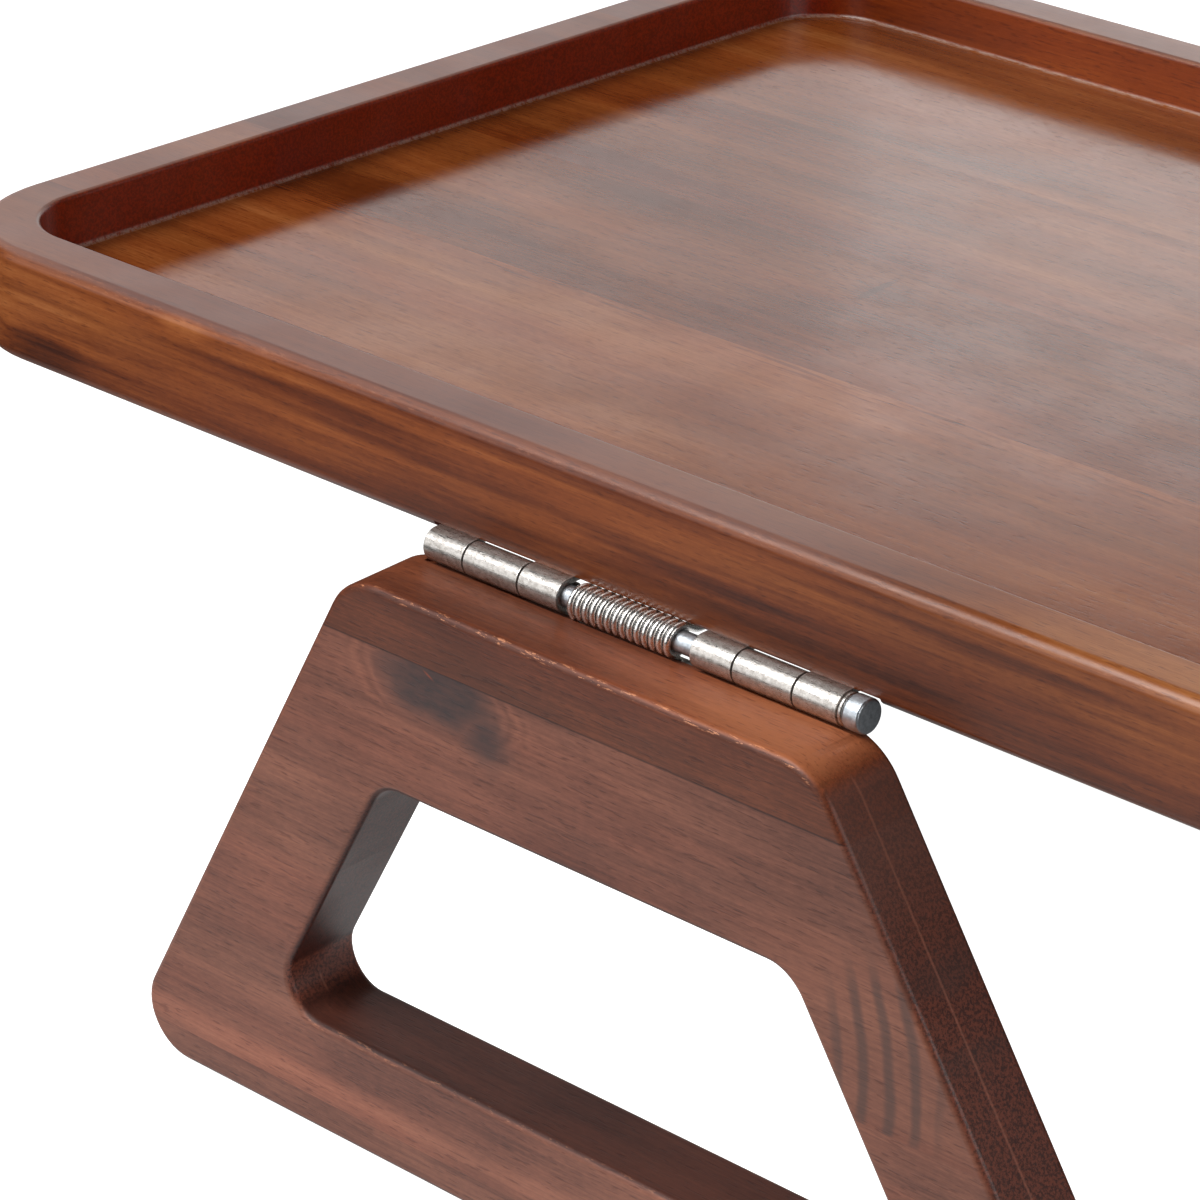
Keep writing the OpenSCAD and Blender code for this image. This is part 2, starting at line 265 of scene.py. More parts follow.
def side_name(rear):
    return "rear" if rear else "front"


# ---------- tray ----------

def tray_corners():
    x = TRAY_HIGH.x - CORNER_RADIUS
    y = TRAY_HIGH.y - CORNER_RADIUS
    quarter = math.pi / 2
    signs = [(1, 1), (-1, 1), (-1, -1), (1, -1)]
    return [
        (sx * x, sy * y, CORNER_RADIUS, n * quarter, (n + 1) * quarter) for n, (sx, sy) in enumerate(signs)]


def tray_profile():
    """The tray's section from the middle of its underside, over the rim, to the recess floor."""
    floor = TRAY_THICKNESS - RECESS_DEPTH
    return [
        *rounding(TRAY_FOOT_ROUND, TRAY_FOOT_ROUND, TRAY_FOOT_ROUND, 270, 180),
        *rounding(TRAY_TOP_ROUND, TRAY_THICKNESS - TRAY_TOP_ROUND, TRAY_TOP_ROUND, 180, 90, steps=8),
        *rounding(RIM_WIDTH - RIM_INNER_ROUND, TRAY_THICKNESS - RIM_INNER_ROUND, RIM_INNER_ROUND, 90, 0),
        *rounding(RIM_WIDTH + RECESS_COVE, floor + RECESS_COVE, RECESS_COVE, 180, 270, kind=-1),
    ]


def tray_hinge_cutters(rear):
    """The leaf's rebate and the screws' pilot holes at one of the tray's hinges."""
    low = (-HINGE_END - TAIL_ROOM, -OVERCUT, -BARREL)
    high = (HINGE_END + HEAD_ROOM, LEAF_WIDTH + FREE_GAP, BARREL)
    cutters = [box_cutter(low, high)] + [screw_bore(x, y) for x, y in SCREW_PLACES]
    for cutter in cutters:
        at_hinge(cutter, rear)
    bpy.context.view_layer.update()
    return cutters


def standing_at(x, y):
    """Stands a turned shape's axis upright at a place on a level leaf."""
    return Matrix.Translation((x, y, 0)) @ Matrix.Rotation(-math.pi / 2, 4, "Y")


def screw_bore(x, y):
    """A pilot hole for one screw, pointing up."""
    profile = [(0, 0), (0, PILOT), (PILOT_DEPTH, PILOT), (PILOT_DEPTH, 0)]
    return lathe("cutter", profile, standing_at(x, y), steps=16)


def make_tray(materials):
    corners = tray_corners()
    profile = tray_profile()
    rings = [
        [(x, y, TRAY_LOW.z + height) for x, y in outline(corners, inset)] for inset, height, _ in profile]
    whole = loft("whole_tray", rings, [value for _, _, value in profile], closed=False)
    for n in range(6):
        name = f"tray_stave_{n + 1}"
        stave = slab(whole, f"{name}_wood", Vector((0, 1, 0)), STAVE_ENDS[n], STAVE_ENDS[n + 1])
        if n in (0, 5):
            carve(stave, tray_hinge_cutters(rear=n == 5))
        shade(stave)
        finish_piece(stave, "tray", [name], materials[name])
    bpy.data.objects.remove(whole)


# ---------- wings ----------

def trapezoid_corners(top, high, low, top_radius, foot_radius):
    """Corners of a rounded trapezoid between two depths below the wing's top edge."""
    half_angle = (math.pi / 2 - SIDE_SLOPE) / 2
    top_x = top / 2 + high * math.tan(SIDE_SLOPE) - top_radius * math.tan(half_angle)
    foot_x = top / 2 + low * math.tan(SIDE_SLOPE) - foot_radius / math.tan(half_angle)
    quarter = math.pi / 2
    return [
        (foot_x, foot_radius - low, foot_radius, -quarter, SIDE_SLOPE),
        (top_x, -high - top_radius, top_radius, SIDE_SLOPE, quarter),
        (-top_x, -high - top_radius, top_radius, quarter, math.pi - SIDE_SLOPE),
        (-foot_x, foot_radius - low, foot_radius, math.pi - SIDE_SLOPE, 3 * quarter),
    ]


def wing_rings():
    """Rings round the wing's section: its outer edge front to back, then the cut-out's back to front."""
    outer = trapezoid_corners(WING_TOP, 0, WING_HEIGHT, WING_TOP_RADIUS, WING_FOOT_RADIUS)
    inner = trapezoid_corners(CUTOUT_TOP, CUTOUT_FROM, CUTOUT_TO, CUTOUT_TOP_RADIUS, CUTOUT_FOOT_RADIUS)
    front = WING_FRONT + WING_ROUND
    back = WING_BACK - WING_ROUND
    outer_profile = [
        *rounding(WING_ROUND, front, WING_ROUND, 270, 180),
        *rounding(WING_ROUND, back, WING_ROUND, 180, 90),
    ]
    inner_profile = [
        *rounding(-WING_ROUND, back, WING_ROUND, 90, 0),
        *rounding(-WING_ROUND, front, WING_ROUND, 0, -90),
    ]
    rings = []
    values = []
    for corners, profile in ((outer, outer_profile), (inner, inner_profile)):
        for inset, depth, value in profile:
            rings.append([(x, depth, z - WING_DROP) for x, z in outline(corners, inset)])
            values.append(value)
    return rings, values


def wing_hinge_cutters():
    """The groove under the barrel, the leaf's rebate, the slot for the spring's leg and the pilot holes."""
    start = -HINGE_END - FREE_GAP
    end = HINGE_END + HEAD_ROOM
    slot_low = (COIL_START - LEG_SLOT, LEG_SLOT_FRONT, LEG_SLOT_FOOT)
    slot_high = (COIL_START + LEG_SLOT, BARREL, 0)
    cutters = [
        lathe("cutter", [(start, 0), (start, GROOVE), (end, GROOVE), (end, 0)]),
        box_cutter((start, -WING_LEAF_LEVEL, -LEAF_WIDTH - FREE_GAP), (-start, BARREL, FREE_GAP)),
        box_cutter(slot_low, slot_high),
    ]
    forward = Matrix.Rotation(math.pi / 2, 4, "X")
    for x, drop in SCREW_PLACES:
        hole = screw_bore(x, 0)
        hole.data.transform(Matrix.Translation((0, 0, -drop)) @ forward)
        cutters.append(hole)
    return cutters


def make_wing(rear, materials):
    side = side_name(rear)
    rings, values = wing_rings()
    whole = loft("whole_wing", rings, values, closed=True)
    carve(whole, wing_hinge_cutters())
    for n, strip in enumerate(WING_STRIPS):
        name = f"{side}_wing_{strip}_strip"
        low = -WING_DROP - WING_JOINTS[n + 1]
        high = -WING_DROP - WING_JOINTS[n]
        piece = slab(whole, f"{name}_wood", Vector((0, 0, 1)), low, high)
        shade(piece)
        at_hinge(piece, rear, WING_LEAN)
        finish_piece(piece, f"{side}_wing", [name], materials[name])
    bpy.data.objects.remove(whole)


# ---------- hinges ----------

def lathe(name, profile, place=Matrix.Identity(4), steps=48):
    """Turns a profile of (x, radius) round the X axis. Radii of 0 close its ends."""
    verts = []
    faces = []
    for x, radius in profile:
        for k in range(steps if radius else 1):
            angle = 2 * math.pi * k / steps
            verts.append(place @ Vector((x, radius * math.cos(angle), radius * math.sin(angle))))
    start = 0
    for (_, radius), (_, following) in zip(profile, profile[1:]):
        width = steps if radius else 1
        end = start + width
        for k in range(steps):
            ring = [start + k % width, start + (k + 1) % width] if radius else [start]
            other = [end + (k + 1) % steps, end + k] if following else [end]
            faces.append(tuple(ring + other))
        start = end
    return new_object(name, verts, faces)


def leaf_level(on_wing):
    """A leaf's bearing face, above the pin's axis. A wing leaf is drawn level too, then turned down."""
    return WING_LEAF_LEVEL if on_wing else BARREL


def leaf_rows(on_wing):
    """(distance from the axis, height) along a leaf's bearing face, then on round its knuckles."""
    start, end = WING_ROLL if on_wing else TRAY_ROLL
    corner = [LEAF_WIDTH - LEAF_CORNER * (1 - math.cos(math.radians(a))) for a in CORNER_ANGLES]
    plate = [(reach, leaf_level(on_wing)) for reach in corner + [LEAF_CUT]]
    roll = []
    for i in range(ROLL_STEPS + 1):
        angle = math.radians(start + (end - start) * i / ROLL_STEPS)
        roll.append((BARREL * math.cos(angle), BARREL * math.sin(angle)))
    return plate, roll


def leaf_sheet(name, tabs, on_wing):
    """The outer skin of a leaf: a flat plate whose tabs roll round the pin."""
    stations = sorted({-HINGE_END, HINGE_END} | {x for tab in tabs for x in tab})
    plate, roll = leaf_rows(on_wing)
    rows = plate + roll
    verts = []
    for r, (y, z) in enumerate(rows):
        pull = 0.0
        if r < len(CORNER_ANGLES):
            pull = LEAF_CORNER * (1 - math.sin(math.radians(CORNER_ANGLES[r])))
        for x in stations:
            bent = x - math.copysign(pull, x) if abs(x) == HINGE_END else x
            verts.append((bent, y, z))
    count = len(stations)
    faces = []
    for r in range(len(rows) - 1):
        for k in range(count - 1):
            tab = any(a <= stations[k] and stations[k + 1] <= b for a, b in tabs)
            if tab or r < len(plate) - 1:
                a = r * count + k
                faces.append((a, a + 1, a + count + 1, a + count))
    used = sorted({v for face in faces for v in face})
    index = {v: i for i, v in enumerate(used)}
    mesh = bpy.data.meshes.new(name)
    mesh.from_pydata([verts[v] for v in used], [], [tuple(index[v] for v in face) for face in faces])
    obj = bpy.data.objects.new(name, mesh)
    bpy.context.scene.collection.objects.link(obj)
    return obj


def countersink(x, y, level):
    """A countersunk hole through a leaf, its wide mouth underneath."""
    wide = 2.65 * MM
    narrow = 1.35 * MM
    mouth = level - SHEET
    profile = [
        (mouth - OVERCUT, 0), (mouth - OVERCUT, wide), (mouth, wide),
        (level, narrow), (level + OVERCUT, narrow), (level + OVERCUT, 0),
    ]
    return lathe("cutter", profile, standing_at(x, y), steps=24)


# Takes (x, y, z) to (x, -z, -y)
HANG_DOWN = Matrix(((1, 0, 0, 0), (0, 0, -1, 0), (0, -1, 0, 0), (0, 0, 0, 1)))


def make_leaf(rear, on_wing, material):
    outer, middle, inner = KNUCKLE_ENDS
    gap = KNUCKLE_GAP
    if on_wing:
        tabs = [(-outer + gap, -middle - gap), (middle + gap, outer - gap)]
    else:
        tabs = [
            (-HINGE_END, -outer - gap), (-middle + gap, -inner - gap),
            (inner + gap, middle - gap), (outer + gap, HINGE_END),
        ]
    body = f"{side_name(rear)}_wing" if on_wing else "tray"
    node = f"{side_name(rear)}_{'wing' if on_wing else 'tray'}_leaf"
    leaf = leaf_sheet(f"{node}_metal", tabs, on_wing)
    skin = leaf.modifiers.new("sheet", "SOLIDIFY")
    skin.thickness = SHEET
    skin.offset = 1
    skin.use_even_offset = True
    soften = leaf.modifiers.new("soft edges", "BEVEL")
    soften.width = 0.17 * MM
    soften.segments = 2
    soften.limit_method = "ANGLE"
    soften.angle_limit = math.radians(50)
    apply_modifiers(leaf)
    tidy_normals(leaf.data)
    carve(leaf, [countersink(x, y, leaf_level(on_wing)) for x, y in SCREW_PLACES])
    if on_wing:
        leaf.data.transform(HANG_DOWN)
        tidy_normals(leaf.data)
    shade(leaf)
    at_hinge(leaf, rear, WING_LEAN if on_wing else 0.0)
    finish_piece(leaf, body, [node], material)


def make_pin(rear, material):
    """The pin: a plain shaft and a flat head with soft edges."""
    side = side_name(rear)
    tail = -HINGE_END + 0.4 * MM
    low = HINGE_END + 1.15 * MM
    high = low + 3.1 * MM
    head = 2.85 * MM
    soft = 0.4 * MM
    profile = [
        (tail, 0), (tail, PIN - soft), (tail + soft, PIN), (low, PIN),
        *[(low + soft - x, head - soft + y) for x, y in quarter_round(soft)],
        *[(high - soft + x, head - soft + y) for x, y in reversed(quarter_round(soft))],
        (high, 0),
    ]
    pin = lathe(f"{side}_hinge_pin_metal", profile)
    shade(pin, sharp_angle=40)
    at_hinge(pin, rear)
    finish_piece(pin, "tray", [f"{side}_hinge_pin"], material)


def quarter_round(radius, steps=4):
    """Points on a quarter circle, from its level end to its top."""
    angles = [math.pi / 2 * i / steps for i in range(steps + 1)]
    return [(radius * math.cos(a), radius * math.sin(a)) for a in angles]


def make_washer(rear, material):
    """The loose ring between the last knuckle and the pin's head."""
    side = side_name(rear)
    hole = PIN + 0.05 * MM
    low = HINGE_END + 0.1 * MM
    high = low + 0.95 * MM
    outer = BARREL - 0.1 * MM
    soft = 0.2 * MM
    profile = [
        (low, hole), (low, outer - soft), (low + soft, outer),
        (high - soft, outer), (high, outer - soft), (high, hole), (low, hole),
    ]
    washer = lathe(f"{side}_hinge_washer_metal", profile)
    shade(washer, sharp_angle=50)
    at_hinge(washer, rear)
    finish_piece(washer, "tray", [f"{side}_hinge_washer"], material)


def spring_path():
    """The wire's middle line: wing leg, coils, tray leg."""
    leg = math.radians(LEG_ANGLE)
    bend_y = COIL * math.sin(leg) + LEG_REACH * math.cos(leg)
    bend_z = COIL * math.cos(leg) - LEG_REACH * math.sin(leg)
    end = COIL_START + COIL_LENGTH
    bend = Vector((COIL_START, -bend_z, -bend_y))
    first = math.radians(-90 - LEG_ANGLE)
    last = math.radians(360 * COIL_TURNS + LEG_ANGLE)
    steps = 480
    coil = []
    for i in range(steps + 1):
        angle = first + (last - first) * i / steps
        x = COIL_START + COIL_LENGTH * i / steps
        coil.append(Vector((x, COIL * math.sin(angle), COIL * math.cos(angle))))
    wing_end = bend + LEG_LENGTH * Vector((0, math.sin(WING_LEAN), -math.cos(WING_LEAN)))
    tray_bend = Vector((end, bend_y, bend_z))
    tray_end = tray_bend + Vector((0, LEG_LENGTH, 0))
    wing_leg = round_bends([wing_end, bend, coil[0]])
    tray_leg = round_bends([coil[-1], tray_bend, tray_end])
    return wing_leg + coil[1:-1] + tray_leg


def round_bends(points):
    """Replaces the middle of three points by a short curve."""
    start, bend, end = points
    reach = 1.1 * MM
    a = bend + (start - bend).normalized() * reach
    b = bend + (end - bend).normalized() * reach
    curve = [a.lerp(bend, t / 6).lerp(bend.lerp(b, t / 6), t / 6) for t in range(7)]
    return [start] + curve + [end]


def make_spring(rear, material):
    """The torsion spring, with one leg laid along the wing and one along the tray."""
    side = side_name(rear)
    path = spring_path()
    sides = 14
    verts = []
    faces = []
    for i, point in enumerate(path):
        ahead = path[min(i + 1, len(path) - 1)]
        behind = path[max(i - 1, 0)]
        forward = (ahead - behind).normalized()
        out = forward.cross(Vector((1, 0, 0))).normalized()
        across = out.cross(forward)
        for k in range(sides):
            angle = 2 * math.pi * k / sides
            verts.append(point + WIRE * (math.cos(angle) * out + math.sin(angle) * across))
    for i in range(len(path) - 1):
        a = i * sides
        b = a + sides
        faces += [(a + k, a + (k + 1) % sides, b + (k + 1) % sides, b + k) for k in range(sides)]
    faces.append(tuple(range(sides)))
    faces.append(tuple(range(len(verts) - sides, len(verts))))
    spring = new_object(f"{side}_hinge_spring_wire", verts, faces)
    shade(spring, sharp_angle=60)
    at_hinge(spring, rear)
    spring.data.materials.append(material)
    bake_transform(spring)
    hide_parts(f"{side}_hinge_spring")


def finish_piece(obj, body, nodes, material):
    """Gives a piece its material and tells the frame what it rides on and replaces."""
    obj.data.materials.clear()
    obj.data.materials.append(material)
    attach(obj, body)
    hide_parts(*nodes)


# ---------- material helpers ----------

class Nodes:
    """A short way of writing a material's node tree."""

    def __init__(self, name):
        self.material = bpy.data.materials.new(name)
        self.material.use_nodes = True
        self.tree = self.material.node_tree
        self.shader = self.tree.nodes["Principled BSDF"]
        self.coords = self.add("ShaderNodeTexCoord")

    def add(self, kind, **settings):
        node = self.tree.nodes.new(kind)
        for key, value in settings.items():
            setattr(node, key, value)
        return node

    def feed(self, socket, value):
        """Links a socket, or sets a plain value on it."""
        if isinstance(value, bpy.types.NodeSocket):
            self.tree.links.new(value, socket)
        elif isinstance(value, (tuple, list)) and len(value) == 3 and socket.type == "RGBA":
            socket.default_value = (*value, 1)
        else:
            socket.default_value = value

    def math(self, operation, a, b=0.0, c=None):
        node = self.add("ShaderNodeMath", operation=operation)
        self.feed(node.inputs[0], a)
        self.feed(node.inputs[1], b)
        if c is not None:
            self.feed(node.inputs[2], c)
        return node.outputs[0]

    def product(self, *factors):
        result = factors[0]
        for factor in factors[1:]:
            result = self.math("MULTIPLY", result, factor)
        return result

    def vector(self, operation, a, b=None, scale=None):
        node = self.add("ShaderNodeVectorMath", operation=operation)
        self.feed(node.inputs[0], a)
        if b is not None:
            self.feed(node.inputs[1], b)
        if scale is not None:
            self.feed(node.inputs["Scale"], scale)
        return node.outputs["Value" if operation in ("LENGTH", "DISTANCE", "DOT_PRODUCT") else "Vector"]

    def split(self, vector):
        node = self.add("ShaderNodeSeparateXYZ")
        self.feed(node.inputs[0], vector)
        return node.outputs

    def join(self, x, y, z):
        node = self.add("ShaderNodeCombineXYZ")
        for socket, value in zip(node.inputs, (x, y, z)):
            self.feed(socket, value)
        return node.outputs[0]

    def noise(self, vector, scale, detail=4.0, roughness=0.55):
        node = self.add("ShaderNodeTexNoise")
        self.feed(node.inputs["Vector"], vector)
        node.inputs["Scale"].default_value = scale
        node.inputs["Detail"].default_value = detail
        node.inputs["Roughness"].default_value = roughness
        return node.outputs["Fac"]

    def stretch(self, value, low, high, to_low=0.0, to_high=1.0):
        """Maps low..high of a value smoothly to to_low..to_high, clamped."""
        node = self.add("ShaderNodeMapRange", interpolation_type="SMOOTHSTEP")
        keys = ("Value", "From Min", "From Max", "To Min", "To Max")
        for key, item in zip(keys, (value, low, high, to_low, to_high)):
            self.feed(node.inputs[key], item)
        return node.outputs["Result"]

    def mix(self, factor, a, b, blend="MIX"):
        node = self.add("ShaderNodeMix", data_type="RGBA", blend_type=blend)
        self.feed(node.inputs["Factor"], factor)
        self.feed(node.inputs["A"], a)
        self.feed(node.inputs["B"], b)
        return node.outputs["Result"]

    def bump(self, height, distance, strength):
        node = self.add("ShaderNodeBump")
        node.inputs["Strength"].default_value = strength
        node.inputs["Distance"].default_value = distance
        self.feed(node.inputs["Height"], height)
        return node.outputs["Normal"]

    def set(self, **values):
        """Feeds the shader's inputs, each named with _ for its spaces."""
        for key, value in values.items():
            self.feed(self.shader.inputs[key.replace("_", " ")], value)


def srgb(red, green, blue):
    """A colour given as 0-255 screen values, turned into linear light."""
    def linear(value):
        value = value / 255
        return value / 12.92 if value <= 0.04045 else ((value + 0.055) / 1.055) ** 2.4
    return (linear(red), linear(green), linear(blue))


# ---------- wood ----------

PORE_DEPTH = 0.05 * MM


class Wood(Nodes):
    """Stained and lacquered wood, its grain along X.

    Places and sizes in it are in millimetres, in the piece's own frame: a tray stave's is the whole
    object's, and a wing strip's has the hinge pin's axis as its X axis.
    """

    def __init__(self, name, seed):
        super().__init__(name)
        self.here = self.vector("SCALE", self.coords.outputs["Object"], scale=1 / MM)
        self.shifted = self.vector("ADD", self.here, (seed * 137.0, seed * 53.0, seed * 71.0))
        self.x, self.y, self.z = self.split(self.here)
        self.normal = self.split(self.coords.outputs["Normal"])
        self.tone = 0.5
        self.colour_layers = []

    def grain(self, along, across, detail=4.0, roughness=0.6):
        """Noise drawn out along the grain, -0.5 to 0.5."""
        place = self.vector("MULTIPLY", self.shifted, (along, across, across))
        return self.math("SUBTRACT", self.noise(place, 1.0, detail, roughness), 0.5)

    def lighten(self, value, amount):
        """Adds a share of a value to the tone: 0 is the wood's darkest, 1 its lightest."""
        self.tone = self.math("ADD", self.tone, self.product(value, amount))

    def lay_colour(self, mask, tint, blend="MIX"):
        """Keeps a colour to be laid over the wood, or multiplied into it, where the mask is 1. It carries
        real stains and also painted shade and painted sheen.
        """
        self.colour_layers.append((mask, tint, blend))

    def rings(self, pith_y, pith_z, slope_y, slope_z, period, amount):
        """Growth rings round an axis that runs nearly along X."""
        y = self.math("MULTIPLY_ADD", self.x, slope_y, self.math("SUBTRACT", self.y, pith_y))
        z = self.math("MULTIPLY_ADD", self.x, slope_z, self.math("SUBTRACT", self.z, pith_z))
        wander = self.product(self.grain(0.008, 0.04, 3.0), 14.0)
        radius = self.math("ADD", self.vector("LENGTH", self.join(0.0, y, z)), wander)
        line = self.join(self.math("DIVIDE", radius, period), 0.0, 0.0)
        self.lighten(self.math("SUBTRACT", self.noise(line, 1.0, 3.0, 0.7), 0.5), amount)

    def reach(self, place, size):
        """How far a point is from a place: 1 on the ellipsoid of that size round it."""
        gap = self.vector("SUBTRACT", self.here, place)
        return self.vector("LENGTH", self.vector("DIVIDE", gap, size))

    def spot(self, place, size, amount):
        """A soft patch, lighter or darker, with an uneven edge."""
        wobble = self.product(self.grain(0.06, 0.15), 0.5)
        reach = self.math("ADD", self.reach(place, size), wobble)
        self.lighten(self.stretch(reach, 1.1, 0.25), amount)

    def band(self, value, middle, half_width, soft=None):
        """1 where a value is near the middle, falling to 0 at the half width over the soft distance."""
        inner = half_width - (half_width if soft is None else soft)
        distance = self.math("ABSOLUTE", self.math("SUBTRACT", value, middle))
        return self.stretch(distance, inner, half_width, 1.0, 0.0)

    def ramp_colour(self, ramp):
        """The tone's colour on a ramp of evenly spaced colours, dark to light."""
        node = self.add("ShaderNodeValToRGB")
        self.feed(node.inputs["Fac"], self.tone)
        stops = node.color_ramp.elements
        while len(stops) < len(ramp):
            stops.new(0.5)
        for i, tint in enumerate(ramp):
            stops[i].position = i / (len(ramp) - 1)
            stops[i].color = (*tint, 1)
        return node.outputs["Color"]

    def weathered(self, colour, wear):
        """Bare flecks along the outer edges, and pale dust in the corners."""
        edge = self.add("ShaderNodeAttribute", attribute_name="edge").outputs["Fac"]
        flecks = self.noise(self.vector("MULTIPLY", self.shifted, (0.35, 1.8, 1.8)), 1.0, 4.0, 0.75)
        off_ends = self.stretch(self.math("ABSOLUTE", self.normal[0]), 0.3, 0.15)
        worn = self.product(self.stretch(edge, 0.3, 0.95), self.stretch(flecks, 0.56, 0.62), off_ends)
        colour = self.mix(self.product(worn, wear), colour, srgb(224, 148, 104))
        seam = self.product(self.stretch(edge, -0.3, -0.95), self.stretch(flecks, 0.35, 0.6))
        return self.mix(self.product(seam, 0.3), colour, srgb(206, 186, 172))

    def finish(self, ramp, end_grain, roughness, relief, wear, ior):
        """Turns the tone into colour and adds pores, end grain, the laid colours (real stains, and painted
        shade and sheen), wear and the lacquer's surface.
        """
        fibres = self.grain(0.05, 2.2, 4.0, 0.7)
        dashes = self.stretch(self.grain(0.3, 3.0, 1.0, 0.5), 0.10, 0.20)
        speckle = self.grain(0.5, 1.8, 3.0, 0.7)
        self.lighten(fibres, 0.5)
        self.lighten(speckle, 0.3)
        colour = self.ramp_colour(ramp)
        redder = self.stretch(self.grain(0.006, 0.05, 3.0), -0.12, 0.16)
        colour = self.mix(self.product(redder, 0.5), colour, (1.0, 0.76, 0.70), "MULTIPLY")
        colour = self.mix(self.product(dashes, 0.55), colour, (0.42, 0.30, 0.28), "MULTIPLY")

        across = self.stretch(self.math("ABSOLUTE", self.normal[0]), 0.3, 0.85)
        stipple = self.noise(self.shifted, 1.9, 3.0, 0.75)
        shade_of = self.stretch(stipple, 0.40, 0.60)
        ends = self.mix(shade_of, end_grain[0], end_grain[1])
        colour = self.mix(self.product(across, 0.85), colour, ends)

        for mask, tint, blend in self.colour_layers:
            colour = self.mix(mask, colour, tint, blend)

        colour = self.weathered(colour, wear)
        smears = self.noise(self.shifted, 0.06, 3.0)
        rough = self.math("ADD", roughness, self.stretch(smears, 0.3, 0.7, -0.03, 0.04))
        height = self.math("SUBTRACT", self.product(fibres, 0.5), self.product(dashes, 0.8))
        self.set(Base_Color=colour, Roughness=rough, Normal=self.bump(height, PORE_DEPTH, relief), IOR=ior)
        return self.material


TRAY_RAMP = [(0.045, 0.008, 0.0015), (0.14, 0.030, 0.005), (0.27, 0.074, 0.015), (0.42, 0.15, 0.042)]
WING_RAMP = [(0.030, 0.012, 0.010), (0.12, 0.041, 0.026), (0.27, 0.100, 0.060), (0.44, 0.19, 0.115)]
TRAY_ENDS = ((0.26, 0.024, 0.003), (0.12, 0.009, 0.001))
WING_ENDS = ((0.19, 0.045, 0.024), (0.035, 0.008, 0.006))
STAVE_TONES = [0.52, 0.66, 0.46, 0.52, 0.56, 0.60]
STRIP_TONES = [0.44, 0.48, 0.50, 0.50]


def tray_wood(number):
    """A stave's wood. The recess floor is rubbed to a gloss and the rest is satin."""
    w = Wood(f"tray_stave_{number}_wood", number)
    w.tone = STAVE_TONES[number - 1]
    w.rings(-20.0 - 9.0 * number, 60.0, 0.012 * (number - 3), 0.02, 3.4, 0.35)
    w.lighten(w.grain(0.007, 0.2, 4.0), 0.55)
    w.lighten(w.grain(0.012, 0.03, 2.0), 0.9)
    if number == 1:
        front_face_figure(w)
    if number == 2:
        streaks = w.stretch(w.grain(0.06, 1.1, 2.0), 0.02, 0.14)
        w.lighten(w.product(w.band(w.y, -43.5, 5.0), streaks), -0.3)
    if number == 3:
        w.spot((-125.0, -30.0, 122.0), (38.0, 12.0, 20.0), -0.16)
        slant = w.math("MULTIPLY_ADD", w.y, 0.11, w.x)
        w.lighten(w.product(w.band(slant, -49.0, 1.3), w.band(w.y, -6.0, 10.0)), -0.25)
        w.spot((-46.0, -8.0, 122.0), (9.0, 7.0, 20.0), -0.14)
    upright = w.stretch(w.math("ABSOLUTE", w.normal[2]), 0.7, 0.3)
    inside_x = w.band(w.x, 0.0, 162.2, 1.0)
    inside_y = w.band(w.y, 0.0, 105.2, 1.0)
    w.lay_colour(w.product(upright, inside_y, inside_x), (0.90, 0.50, 0.10), "MULTIPLY")
    level = w.stretch(w.normal[2], 0.6, 0.9)
    # Painted sheen: the level rim top is greyed towards lilac on the left, a painted reflection of the
    # bright backdrop.
    painted_rim_sheen = w.product(level, w.stretch(w.z, 130.0, 131.0), w.stretch(w.x, 75.0, 20.0))
    w.lay_colour(w.product(painted_rim_sheen, 0.4), (0.30, 0.22, 0.21))
    floor = w.product(level, w.stretch(w.z, 125.0, 124.0))
    rough = w.math("SUBTRACT", 0.34, w.product(floor, 0.20))
    return w.finish(TRAY_RAMP, TRAY_ENDS, rough, relief=0.12, wear=0.12, ior=1.5)


def front_face_figure(w):
    """Light and dark stretches along the tray's front face, which is darker below, and a painted highlight
    on its top roundover near the left.
    """
    face = w.stretch(w.y, -110.0, -113.5)
    w.lighten(w.product(face, w.stretch(w.z, 121.0, 114.5)), -0.2)
    w.lighten(w.product(face, w.grain(0.012, 0.45, 3.0, 0.6)), 1.0)
    # A painted highlight on the top roundover near the left end.
    w.spot((-104.0, -115.0, 130.0), (9.0, 6.0, 2.2), 0.3)
    w.spot((-128.0, -115.0, 125.0), (22.0, 9.0, 3.0), 0.14)
    w.spot((-75.0, -115.0, 126.0), (34.0, 9.0, 2.2), -0.28)
    w.spot((-140.0, -112.0, 116.0), (14.0, 12.0, 5.0), -0.3)
    w.spot((25.0, -115.0, 119.0), (50.0, 9.0, 4.0), -0.22)
    w.spot((98.0, -110.0, 131.0), (50.0, 9.0, 6.0), 0.5)


